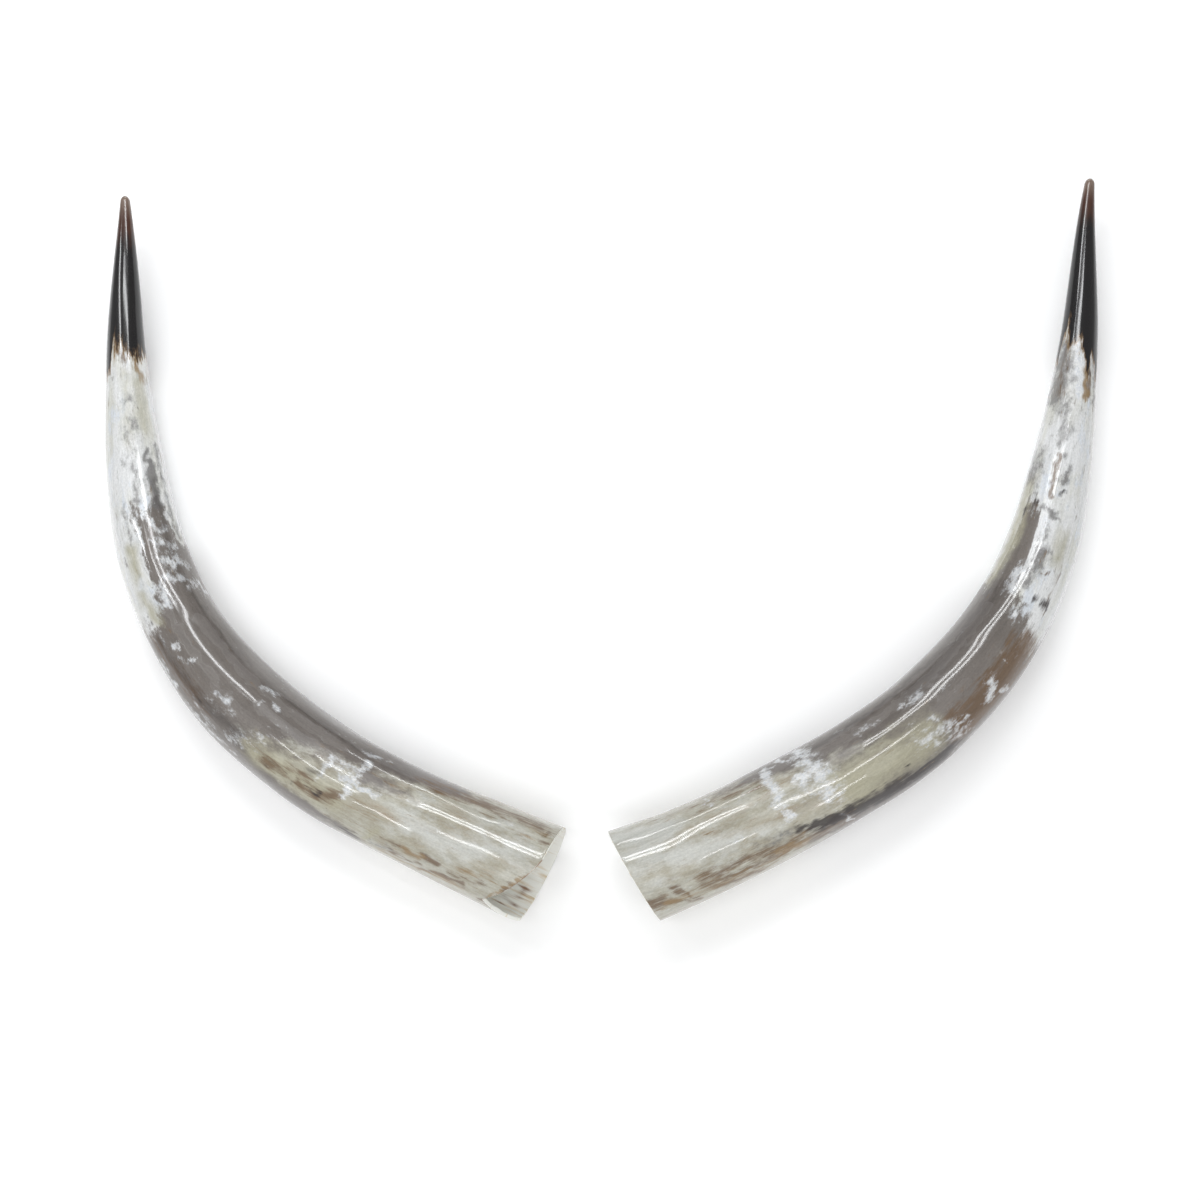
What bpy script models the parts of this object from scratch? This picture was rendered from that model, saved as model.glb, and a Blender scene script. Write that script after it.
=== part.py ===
"""A pair of polished cow horns, lying side by side on a flat surface.

Metres, +Z up. X runs from the left horn's bend to the right horn's bend, and Y
from the sawn mouths towards the tips. The origin is the middle of the pair's
footprint, on the surface that the horns lie on.

Each horn is one solid, as it grew: a bent tube with a sawn mouth, whose wall
thickens until the hollow ends and the rest of the horn is solid to the tip.
Distances along a horn run from the mouth's centre to the tip. Angles round a
horn run from its inner side (0) over the top (90) to its outer side (180) and
the underside (270). Headings are degrees from +X towards +Y.
"""
import math

import bmesh
import bpy
import numpy as np

# The left horn. Headings and half widths are given at nine equal shares of the length.
LEFT_LENGTH = 0.8885
LEFT_MOUTH = (-0.0401, -0.3169)
LEFT_HEADINGS = (156.5, 156.5, 149.0, 137.0, 121.5, 105.5, 97.0, 91.5, 92.5)
LEFT_HALF_WIDTHS = (0.0490, 0.0450, 0.0445, 0.0430, 0.0370, 0.0325, 0.0240, 0.0160, 0.0045)
LEFT_TIP_LIFT = 0.050
LEFT_SAW_SKEW = 3.0
LEFT_SAW_FORWARD = 0.0038
LEFT_CHIP = (70.0, 150.0, 192.0, 0.036)

# The right horn, a little shorter and slimmer, with a more slanting saw cut and a whole rim.
RIGHT_LENGTH = 0.866
RIGHT_MOUTH = (0.0491, -0.3189)
RIGHT_HEADINGS = (20.0, 26.5, 31.0, 43.5, 59.0, 74.5, 80.0, 85.5, 82.5)
RIGHT_HALF_WIDTHS = (0.0465, 0.0440, 0.0425, 0.0415, 0.0365, 0.0310, 0.0225, 0.0140, 0.0045)
RIGHT_TIP_LIFT = 0.045
RIGHT_SAW_SKEW = 11.0
RIGHT_SAW_FORWARD = 0.0
NO_CHIP = (0.0, 90.0, 180.0, 0.0)

# What both horns share.
HEIGHT_TO_WIDTH = 0.96
LIFT_FROM = 0.62
LIFT_POWER = 1.5
TIP_ROUNDING = 0.006
HOLLOW_SHARE = 0.58
WALL_AT_MOUTH = 0.004
WALL_AT_END = 0.008
CHIP_POWER = 1.5
RIM_REACH = 0.120

# How finely the surface is divided.
SEGMENTS = 40
BODY_RINGS = 34
TIP_RINGS = 4
HOLLOW_RINGS = 17
TABLE_STEPS = 800
CREASE_ANGLE = math.radians(40.0)

LEFT_COLOUR = (0.40, 0.37, 0.31, 1.0)
RIGHT_COLOUR = (0.42, 0.38, 0.32, 1.0)
POLISH_ROUGHNESS = 0.18


def spline(stations, share):
    """A natural cubic spline through values that stand at equal shares of the length."""
    values = np.asarray(stations, float)
    spans = len(values) - 1
    bends = np.zeros(spans + 1)
    matrix = 4.0 * np.eye(spans - 1) + np.eye(spans - 1, k=1) + np.eye(spans - 1, k=-1)
    bends[1:-1] = np.linalg.solve(matrix, 6.0 * (values[2:] - 2.0 * values[1:-1] + values[:-2]))
    span = np.clip(np.floor(share * spans).astype(int), 0, spans - 1)
    part = share * spans - span
    rest = 1.0 - part
    line = rest * values[span] + part * values[span + 1]
    return line + ((rest**3 - rest) * bends[span] + (part**3 - part) * bends[span + 1]) / 6.0


class Horn:
    """One horn's surface, as points at a distance along it and an angle round it."""

    def __init__(self, length, headings, half_widths, tip_lift, inner_side, skew, forward, chip):
        self.length = length
        self.half_widths = half_widths
        self.tip_lift = tip_lift
        self.inner_side = inner_side
        self.skew = math.radians(skew)
        self.forward = forward
        self.chip = chip
        # The line along the middle, from just outside the mouth to the tip, by adding up
        # short steps that each follow the heading there.
        self.along = np.linspace(-RIM_REACH, length, TABLE_STEPS)
        self.heading = np.radians(spline(headings, self.along / length))
        step = self.along[1] - self.along[0]
        halfway = 0.5 * (self.heading[1:] + self.heading[:-1])
        x = np.concatenate([[0.0], np.cumsum(np.cos(halfway) * step)])
        y = np.concatenate([[0.0], np.cumsum(np.sin(halfway) * step)])
        self.x = x - np.interp(0.0, self.along, x)
        self.y = y - np.interp(0.0, self.along, y)

    def half_width(self, along):
        """Half the horn's width before its tip is rounded off."""
        return spline(self.half_widths, along / self.length)

    def lift(self, along):
        """Height of the underside: on the surface up to LIFT_FROM, then rising to the tip."""
        beyond = np.clip((along / self.length - LIFT_FROM) / (1.0 - LIFT_FROM), 0.0, 1.0)
        return self.tip_lift * beyond**LIFT_POWER

    def outer_radius(self, along):
        """The half width, closed in a round over the last TIP_ROUNDING."""
        into_tip = np.clip((along - self.length) / TIP_ROUNDING + 1.0, 0.0, 1.0)
        return self.half_width(along) * np.sqrt(1.0 - into_tip**2)

    def inner_radius(self, along):
        """The hollow: the half width less a growing wall, closed in a blunt cone."""
        share = np.clip(along / (HOLLOW_SHARE * self.length), 0.0, 1.0)
        wall = WALL_AT_MOUTH + (WALL_AT_END - WALL_AT_MOUTH) * share
        return (self.half_width(along) - wall) * np.sqrt(1.0 - share**3)

    def point(self, along, angle, radius):
        """Points on an upright oval section, radius wide and a little less high."""
        centre_x = np.interp(along, self.along, self.x)
        centre_y = np.interp(along, self.along, self.y)
        heading = np.interp(along, self.along, self.heading)
        centre_z = HEIGHT_TO_WIDTH * self.half_width(along) + self.lift(along)
        sideways = self.inner_side * radius * np.cos(angle)
        x = centre_x - np.sin(heading) * sideways
        y = centre_y + np.cos(heading) * sideways
        z = centre_z + HEIGHT_TO_WIDTH * radius * np.sin(angle)
        return np.stack([x, y, z], axis=-1)

    def saw_setback(self, angle, radius_at):
        """How far along the horn the saw's upright plane meets the wall, for each angle. The
        plane stands the distance forward outside the mouth's centre."""
        heading = np.interp(0.0, self.along, self.heading) + self.inner_side * self.skew
        normal = np.array([math.cos(heading), math.sin(heading), 0.0])
        setback = np.zeros_like(angle)
        for _ in range(8):
            short = self.point(setback, angle, radius_at(setback)) @ normal + self.forward
            setback = setback - short
        return setback

    def chip_depth(self, angle):
        """A bite out of the rim: it deepens slowly round the horn and ends faster."""
        start, deepest, end, depth = self.chip
        degrees = np.degrees(angle)
        deepening = np.clip((degrees - start) / (deepest - start), 0.0, 1.0) ** CHIP_POWER
        ending = np.clip((end - degrees) / (end - deepest), 0.0, 1.0)
        return depth * deepening * ending

    def ring(self, along, angle, radius_at):
        """One ring, drawn back near the mouth so that the first ring lies in the saw cut."""
        fade = max(0.0, 1.0 - along / RIM_REACH)
        drawn_back = self.saw_setback(angle, radius_at) + self.chip_depth(angle)
        place = along + fade * drawn_back
        return self.point(place, angle, radius_at(place))


def ring_places(length):
    """Distances of the outer rings from the tip to the mouth, closer together at the tip."""
    turn = np.radians(np.linspace(90.0, 0.0, TIP_RINGS + 1)[1:-1])
    rounding = length - TIP_ROUNDING * (1.0 - np.sin(turn))
    share = np.linspace(0.0, 1.0, BODY_RINGS)
    body = (length - TIP_ROUNDING) * (1.0 - share**1.3)
    return np.concatenate([rounding, body])


def hollow_places(length):
    """Distances of the hollow's rings from the mouth inwards, closer at its round end."""
    share = np.linspace(0.0, 1.0, HOLLOW_RINGS + 1)[:-1]
    return HOLLOW_SHARE * length * (1.0 - (1.0 - share)**1.4)


def horn_rings(horn):
    """All rings in one run: tip to mouth outside, then over the rim and into the hollow."""
    angle = np.arange(SEGMENTS) * 2.0 * math.pi / SEGMENTS
    outside = [horn.ring(place, angle, horn.outer_radius) for place in ring_places(horn.length)]
    inside = [horn.ring(place, angle, horn.inner_radius) for place in hollow_places(horn.length)]
    return outside + inside


def horn_mesh(name, horn):
    """Skin the run of rings and close it with a fan at the tip and at the hollow's end."""
    work = bmesh.new()
    rings = [[work.verts.new(point) for point in ring] for ring in horn_rings(horn)]
    tip = work.verts.new(horn.point(horn.length, 0.0, 0.0))
    hollow_end = work.verts.new(horn.point(HOLLOW_SHARE * horn.length, 0.0, 0.0))
    for here, beyond in zip(rings[:-1], rings[1:]):
        for k in range(SEGMENTS):
            after = (k + 1) % SEGMENTS
            work.faces.new((here[k], here[after], beyond[after], beyond[k]))
    for k in range(SEGMENTS):
        after = (k + 1) % SEGMENTS
        work.faces.new((tip, rings[0][after], rings[0][k]))
        work.faces.new((hollow_end, rings[-1][k], rings[-1][after]))
    bmesh.ops.recalc_face_normals(work, faces=work.faces)
    mesh = bpy.data.meshes.new(name)
    work.to_mesh(mesh)
    work.free()
    mesh.shade_smooth()
    mesh.set_sharp_from_angle(angle=CREASE_ANGLE)
    return mesh


def polished_horn(name, colour):
    """Keratin ground smooth and polished, with its average colour."""
    material = bpy.data.materials.new(name)
    material.use_nodes = True
    shader = material.node_tree.nodes["Principled BSDF"]
    shader.inputs["Base Color"].default_value = colour
    shader.inputs["Roughness"].default_value = POLISH_ROUGHNESS
    shader.inputs["Metallic"].default_value = 0.0
    return material


def add_horn(name, horn, mouth, colour):
    """Put one horn in the scene with its mouth's centre over the given place."""
    piece = bpy.data.objects.new(name, horn_mesh(name, horn))
    piece.data.materials.append(polished_horn(name + "_polish", colour))
    piece.location = (mouth[0], mouth[1], 0.0)
    bpy.context.scene.collection.objects.link(piece)


def remove_everything():
    """Start from an empty scene."""
    for item in list(bpy.data.objects):
        bpy.data.objects.remove(item, do_unlink=True)


def build_pair():
    """The left horn turns right towards its tip, and the right horn turns left."""
    remove_everything()
    left = Horn(LEFT_LENGTH, LEFT_HEADINGS, LEFT_HALF_WIDTHS, LEFT_TIP_LIFT, -1.0,
                LEFT_SAW_SKEW, LEFT_SAW_FORWARD, LEFT_CHIP)
    right = Horn(RIGHT_LENGTH, RIGHT_HEADINGS, RIGHT_HALF_WIDTHS, RIGHT_TIP_LIFT, 1.0,
                 RIGHT_SAW_SKEW, RIGHT_SAW_FORWARD, NO_CHIP)
    add_horn("left_horn", left, LEFT_MOUTH, LEFT_COLOUR)
    add_horn("right_horn", right, RIGHT_MOUTH, RIGHT_COLOUR)


build_pair()
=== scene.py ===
import math

import bpy
import numpy as np
from mathutils import Matrix


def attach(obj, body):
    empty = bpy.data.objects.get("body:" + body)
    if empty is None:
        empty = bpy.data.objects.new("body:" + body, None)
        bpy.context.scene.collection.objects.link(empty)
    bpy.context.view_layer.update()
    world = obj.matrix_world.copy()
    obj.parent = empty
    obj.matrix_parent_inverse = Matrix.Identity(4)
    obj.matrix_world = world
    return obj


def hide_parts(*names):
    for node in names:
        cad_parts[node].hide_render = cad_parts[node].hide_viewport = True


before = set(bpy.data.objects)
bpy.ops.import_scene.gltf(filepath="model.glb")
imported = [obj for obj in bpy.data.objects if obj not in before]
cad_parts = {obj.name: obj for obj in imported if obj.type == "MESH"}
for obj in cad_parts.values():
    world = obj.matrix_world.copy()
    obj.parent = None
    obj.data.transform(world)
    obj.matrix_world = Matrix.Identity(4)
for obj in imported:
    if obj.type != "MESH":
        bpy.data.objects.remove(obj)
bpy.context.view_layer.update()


# The left horn. The real piece is one cow's horn, a bent cone of keratin that is hollow for a bit
# over half its length. It was sawn off at the mouth, ground smooth on a belt and buffed to a
# gloss. The sawn rim and the hollow were left raw.

# Its form, in metres and degrees. Headings and half widths stand at nine equal shares of the
# length. The chip is a bite out of the rim: where it starts, is deepest and ends, and its depth.
# The bend's inner side is 1 on the left of the way to the tip, and -1 on its right. The seed fixes
# where the horn's uneven waves lie.
LEFT_LENGTH = 0.8885
LEFT_MOUTH = (-0.0401, -0.3169)
LEFT_HEADINGS = (156.5, 156.5, 149.0, 137.0, 121.5, 105.5, 97.0, 91.5, 92.5)
LEFT_HALF_WIDTHS = (0.0490, 0.0450, 0.0445, 0.0430, 0.0370, 0.0325, 0.0240, 0.0160, 0.0045)
LEFT_TIP_LIFT = 0.050
LEFT_SAW_SKEW = 3.0
LEFT_SAW_FORWARD = 0.0038
LEFT_CHIP = (70.0, 150.0, 192.0, 0.036)
LEFT_INNER_SIDE = -1.0
LEFT_SEED = 11

# What both horns share. Skin and hollow draw back to the saw cut over the last RIM_REACH.
HEIGHT_TO_WIDTH = 0.96
LIFT_FROM = 0.62
LIFT_POWER = 1.5
TIP_ROUNDING = 0.006
HOLLOW_SHARE = 0.58
WALL_AT_MOUTH = 0.004
WALL_AT_END = 0.008
CHIP_POWER = 1.5
RIM_REACH = 0.120

# The belt takes off a little skin everywhere, and leaves long shallow dips that are given as a
# share of the half width. A size is how wide one dip or ridge is, and its length is the size
# divided by the squeeze.
SKIN_SHAVE = 0.00015
BELT_DIP = 0.028
DIP_SIZE = 0.036
DIP_SQUEEZE = 0.36
DIP_STEEPNESS = 0.85

# The saw's edges are eased, and the hollow has fine ridges that begin a little behind the rim.
RIM_EASING = 0.0005
RIDGE_IN_HOLLOW = 0.0004
RIDGE_SIZE = 0.009
RIDGE_SQUEEZE = 0.10
RIDGES_FADE_IN = 0.010

# How finely the surface is divided. The rings of the rim leave RIM_MARGIN of its width free at
# both edges, and those of the hollow crowd towards its end by the power HOLLOW_CROWDING. SAW_STEPS
# find the saw's plane.
POINTS_ROUND = 216
SKIN_RINGS = 362
TIP_RINGS = 10
RIM_RINGS = 5
RIM_MARGIN = 0.12
HOLLOW_RINGS = 58
HOLLOW_CROWDING = 1.4
MIDDLE_LINE_POINTS = 800
SAW_STEPS = 8

# An uneven swelling is this many sine waves, between these two shares of its size long. A horn's
# seed plus a draw's number starts it, so that each swelling is its own.
WAVE_COUNT = 14
WAVE_LENGTHS = (0.7, 1.5)
DIP_DRAW = 0
SHAKE_ALONG_DRAW = 1
SHAKE_ROUND_DRAW = 2
RIDGE_DRAW = 50


def smooth_step(value):
    """0 below 0, 1 above 1, and between them 3 v squared less 2 v cubed."""
    value = np.clip(value, 0.0, 1.0)
    return value * value * (3.0 - 2.0 * value)


def spline(stations, share):
    """A natural cubic spline: values stand at equal shares, and the bend at both ends is nought."""
    values = np.asarray(stations, float)
    spans = len(values) - 1
    bends = np.zeros(spans + 1)
    matrix = 4.0 * np.eye(spans - 1) + np.eye(spans - 1, k=1) + np.eye(spans - 1, k=-1)
    bends[1:-1] = np.linalg.solve(matrix, 6.0 * (values[2:] - 2.0 * values[1:-1] + values[:-2]))
    span = np.clip(np.floor(share * spans).astype(int), 0, spans - 1)
    part = share * spans - span
    rest = 1.0 - part
    line = rest * values[span] + part * values[span + 1]
    return line + ((rest**3 - rest) * bends[span] + (part**3 - part) * bends[span + 1]) / 6.0


def waves(place, size, seed):
    """An uneven swelling, mostly between -1 and 1: sine waves with seeded directions, lengths and
    starts, added up and divided by the root of half their count."""
    pick = np.random.default_rng(seed)
    ways = pick.normal(size=(WAVE_COUNT, 3))
    lengths = size * pick.uniform(*WAVE_LENGTHS, WAVE_COUNT)
    ways *= (2.0 * math.pi / (lengths * np.linalg.norm(ways, axis=1)))[:, None]
    starts = pick.uniform(0.0, 2.0 * math.pi, WAVE_COUNT)
    return np.sin(place @ ways.T + starts).sum(-1) / math.sqrt(WAVE_COUNT / 2.0)


class Horn:
    """One horn's surfaces, as points at a distance along it and an angle round it. The angle runs
    from the inner side of the bend (0) over the top (90) to the outer side (180) and the underside
    (270). inner_side is 1 if the bend's inner side is on the left of the way to the tip, else -1."""

    def __init__(self, length, headings, half_widths, tip_lift, inner_side, skew, forward, chip,
                 mouth, seed):
        self.length = length
        self.half_widths = half_widths
        self.tip_lift = tip_lift
        self.inner_side = inner_side
        self.skew = math.radians(skew)
        self.forward = forward
        self.chip = chip
        self.seed = seed
        # The line along the middle: short steps added up, each following the heading there.
        self.along = np.linspace(-RIM_REACH, length, MIDDLE_LINE_POINTS)
        self.heading = np.radians(spline(headings, self.along / length))
        step = self.along[1] - self.along[0]
        halfway = 0.5 * (self.heading[1:] + self.heading[:-1])
        x = np.concatenate([[0.0], np.cumsum(np.cos(halfway) * step)])
        y = np.concatenate([[0.0], np.cumsum(np.sin(halfway) * step)])
        self.mouth_x, self.mouth_y = mouth
        self.x = x - np.interp(0.0, self.along, x)
        self.y = y - np.interp(0.0, self.along, y)

    def half_width(self, along):
        """Half the horn's width before its tip is rounded off: the spline through its stations."""
        return spline(self.half_widths, along / self.length)

    def straightened(self, along, angle):
        """Where a point of the skin would be if the horn were straight: r cos, r sin, distance."""
        radius = self.half_width(along)
        return np.stack([radius * np.cos(angle), radius * np.sin(angle), along], axis=-1)

    def skin_radius(self, along, angle):
        """The half width, closed in a round at the tip by the root of 1 less t squared, less the
        belt's dips. A dip is half of 1 plus the tanh of the waves, which has no sharp edge."""
        into_tip = np.clip((along - self.length) / TIP_ROUNDING + 1.0, 0.0, 1.0)
        full = self.half_width(along) * np.sqrt(1.0 - into_tip**2)
        place = self.straightened(along, angle) * np.array([1.0, 1.0, DIP_SQUEEZE])
        swelling = waves(place, DIP_SIZE, self.seed + DIP_DRAW)
        dips = 0.5 + 0.5 * np.tanh(DIP_STEEPNESS * swelling)
        return full * (1.0 - BELT_DIP * dips) - SKIN_SHAVE * (1.0 - into_tip)

    def hollow_radius(self, along, angle):
        """The half width less a growing wall, times the root of 1 less t cubed, so that it ends in
        a blunt cone. Fine lengthwise ridges stand in it."""
        share = np.clip(along / (HOLLOW_SHARE * self.length), 0.0, 1.0)
        wall = WALL_AT_MOUTH + (WALL_AT_END - WALL_AT_MOUTH) * share
        place = self.straightened(along, angle) * np.array([1.0, 1.0, RIDGE_SQUEEZE])
        ridges = RIDGE_IN_HOLLOW * waves(place, RIDGE_SIZE, self.seed + RIDGE_DRAW)
        ridges = ridges * smooth_step(along / RIDGES_FADE_IN)
        return (self.half_width(along) - wall + ridges) * np.sqrt(1.0 - share**3)

    def point(self, along, angle, radius):
        """An upright oval section carried along the middle line: sideways radius times cos of the
        angle, up HEIGHT_TO_WIDTH times radius times sin. The horn lies on the floor, and from
        LIFT_FROM of its length it rises to the tip by the power LIFT_POWER."""
        heading = np.interp(along, self.along, self.heading)
        beyond = np.clip((along / self.length - LIFT_FROM) / (1.0 - LIFT_FROM), 0.0, 1.0)
        centre_z = HEIGHT_TO_WIDTH * self.half_width(along) + self.tip_lift * beyond**LIFT_POWER
        sideways = self.inner_side * radius * np.cos(angle)
        x = np.interp(along, self.along, self.x) - np.sin(heading) * sideways
        y = np.interp(along, self.along, self.y) + np.cos(heading) * sideways
        z = centre_z + HEIGHT_TO_WIDTH * radius * np.sin(angle)
        return np.stack([x, y, z], axis=-1)

    def drawn_back(self, angle, radius_at):
        """How far along the horn its rim lies at each angle: steps towards the saw's upright plane
        until they settle, plus the bite out of the rim, which deepens by the power CHIP_POWER and
        ends evenly."""
        heading = np.interp(0.0, self.along, self.heading) + self.inner_side * self.skew
        normal = np.array([math.cos(heading), math.sin(heading), 0.0])
        setback = np.zeros_like(angle)
        for _ in range(SAW_STEPS):
            short = self.point(setback, angle, radius_at(setback, angle)) @ normal + self.forward
            setback = setback - short
        start, deepest, end, depth = self.chip
        degrees = np.degrees(angle)
        deepening = np.clip((degrees - start) / (deepest - start), 0.0, 1.0) ** CHIP_POWER
        ending = np.clip((end - degrees) / (end - deepest), 0.0, 1.0)
        return setback + depth * deepening * ending

    def rings(self, along, radius_at):
        """Whole rings at the given distances. Near the mouth they draw back to meet the saw cut."""
        angle = np.arange(POINTS_ROUND) * 2.0 * math.pi / POINTS_ROUND
        fade = np.maximum(0.0, 1.0 - along / RIM_REACH)
        place = along[:, None] + fade[:, None] * self.drawn_back(angle, radius_at)[None, :]
        angle = np.broadcast_to(angle, place.shape)
        return place, angle, self.point(place, angle, radius_at(place, angle))


def horn_surface(horn):
    """The surface as one grid of rings: tip to mouth outside, over the rim in straight lines, and
    into the hollow. Gives distances, angles, points, and the number of the rim's first ring."""
    turn = np.radians(np.linspace(90.0, 0.0, TIP_RINGS + 1)[1:])
    rounding = horn.length - TIP_ROUNDING * (1.0 - np.sin(turn))
    body = np.linspace(horn.length - TIP_ROUNDING, RIM_EASING, SKIN_RINGS + 1)[1:]
    outside = horn.rings(np.concatenate([rounding, body]), horn.skin_radius)
    share = np.linspace(0.0, 1.0, HOLLOW_RINGS + 1)[:-1]
    crowded = 1.0 - (1.0 - share)**HOLLOW_CROWDING
    depth = RIM_EASING + (HOLLOW_SHARE * horn.length - RIM_EASING) * crowded
    inside = horn.rings(depth, horn.hollow_radius)
    edge = horn.rings(np.zeros(1), horn.skin_radius)
    lip = horn.rings(np.zeros(1), horn.hollow_radius)
    across = np.linspace(RIM_MARGIN, 1.0 - RIM_MARGIN, RIM_RINGS)[:, None]
    rim_place = edge[0] + across * (lip[0] - edge[0])
    rim_angle = np.broadcast_to(edge[1], rim_place.shape)
    rim_point = edge[2] + across[:, :, None] * (lip[2] - edge[2])
    place = np.concatenate([outside[0], rim_place, inside[0]])
    angle = np.concatenate([outside[1], rim_angle, inside[1]])
    point = np.concatenate([outside[2], rim_point, inside[2]])
    return place, angle, point, len(outside[0])


def horn_faces(rings, turned):
    """Squares between neighbouring rings, and a fan of triangles round each of the two poles. The
    poles are the two points after the last ring. turned reverses every face."""
    k = np.arange(POINTS_ROUND)
    after = (k + 1) % POINTS_ROUND
    start = np.arange(rings - 1)[:, None] * POINTS_ROUND
    beyond = start + POINTS_ROUND
    squares = np.stack([start + k, beyond + k, beyond + after, start + after], axis=-1).reshape(-1, 4)
    tip, hollow_end = rings * POINTS_ROUND, rings * POINTS_ROUND + 1
    last = (rings - 1) * POINTS_ROUND
    tip_fan = np.stack([np.full_like(k, tip), k, after], axis=-1)
    end_fan = np.stack([np.full_like(k, hollow_end), last + after, last + k], axis=-1)
    faces = [squares, tip_fan, end_fan]
    return [face[:, ::-1] if turned else face for face in faces]


# The markings are measured in mm. How wide a zone's soft edge is, and how far and over what size
# (in metres) a mark is shaken out of its straight line, along the horn and round it.
MM_PER_METRE = 1000.0
BASE_EDGE = 110.0
PALE_EDGE = 44.0
INK_EDGE = 44.0
RUST_EDGE = 40.0
SHAKE_ALONG = 1.4
SHAKE_ROUND = 1.2
SHAKE_SIZE_ALONG = 0.011
SHAKE_SIZE_ROUND = 0.013
MARK_KINDS = ("olive", "haze", "smoke", "brown", "tan", "chalk", "umber", "dark_horn_and_painted_shade", "stain", "dull",
              "dusk")
DUSK_HOLDS_BACK = 0.75


def unrolled_arc(horn, along_mm, degrees):
    """The skin laid flat: the arc in mm from the horn's top line to each angle, the half width times
    the turn. It is negative towards the inner side, and jumps at the underside."""
    turn = np.radians((degrees + 90.0) % 360.0 - 180.0)
    return horn.half_width(along_mm / MM_PER_METRE) * MM_PER_METRE * turn


def distance_to_line(horn, run, arc, line):
    """The least distance, in mm on the skin laid flat, to a line through (mm, degrees) points."""
    stops = [(mm, unrolled_arc(horn, np.float64(mm), degrees)) for mm, degrees in line]
    if len(stops) == 1:
        return np.hypot(run - stops[0][0], arc - stops[0][1])
    nearest = np.full(run.shape, np.inf)
    for (run_a, arc_a), (run_b, arc_b) in zip(stops[:-1], stops[1:]):
        run_step, arc_step = run_b - run_a, arc_b - arc_a
        part = ((run - run_a) * run_step + (arc - arc_a) * arc_step) / (run_step**2 + arc_step**2)
        part = np.clip(part, 0.0, 1.0)
        gap = np.hypot(run - run_a - part * run_step, arc - arc_a - part * arc_step)
        nearest = np.minimum(nearest, gap)
    return nearest


def round_edge(degrees, points):
    """Where a zone of colour ends along the horn, in mm, for each angle: straight between the given
    (degrees, mm) points, and closed in a ring."""
    turn, place = zip(*points)
    return np.interp(degrees, turn, place, period=360.0)


def horn_colour_fields(horn, along, angle, marks, base_end, pale_start, ink_start, rust_start):
    """How strongly each colour shows at each point of the skin. A mark has its full strength on its
    line, and falls evenly to nought at its width. A zone is half there at its edge, and changes
    evenly over its edge's width. Dusk holds back the base and the white, so the ground shows."""
    mm = along * MM_PER_METRE
    degrees = np.degrees(angle)
    straight = horn.straightened(along, angle)
    run = mm + SHAKE_ALONG * waves(straight, SHAKE_SIZE_ALONG, horn.seed + SHAKE_ALONG_DRAW)
    arc = unrolled_arc(horn, mm, degrees)
    arc = arc + SHAKE_ROUND * waves(straight, SHAKE_SIZE_ROUND, horn.seed + SHAKE_ROUND_DRAW)
    fields = {kind: np.zeros(along.shape) for kind in MARK_KINDS}
    for kind, width, strength, line in marks:
        near = strength * np.clip(1.0 - distance_to_line(horn, run, arc, line) / width, 0.0, 1.0)
        fields[kind] = np.maximum(fields[kind], near)
    kept = 1.0 - DUSK_HOLDS_BACK * fields.pop("dusk")
    base = 0.5 + (round_edge(degrees, base_end) - mm) / BASE_EDGE
    pale = 0.5 + (mm - round_edge(degrees, pale_start)) / PALE_EDGE
    ink = 0.5 + (mm - round_edge(degrees, ink_start)) / INK_EDGE
    rust = 0.5 + (mm - rust_start) / RUST_EDGE
    end = (mm - rust_start) / (horn.length * MM_PER_METRE - rust_start)
    fields["base"] = np.clip(base, 0.0, 1.0) * kept
    fields["pale"] = np.clip(pale, 0.0, 1.0) * kept
    fields["ink"] = np.clip(ink, 0.0, 1.0)
    fields["rust"] = np.clip(rust, 0.0, 1.0)
    fields["end"] = np.clip(end, 0.0, 1.0)
    return fields


def colour(red, green, blue):
    """A colour's strength in light from its 0 to 255 screen values, by the curve that screens use:
    a straight start, and above it a power of 2.4."""
    value = np.array([red, green, blue]) / 255.0
    light = np.where(value <= 0.04045, value / 12.92, ((value + 0.055) / 1.055) ** 2.4)
    return (*light.tolist(), 1.0)


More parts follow.
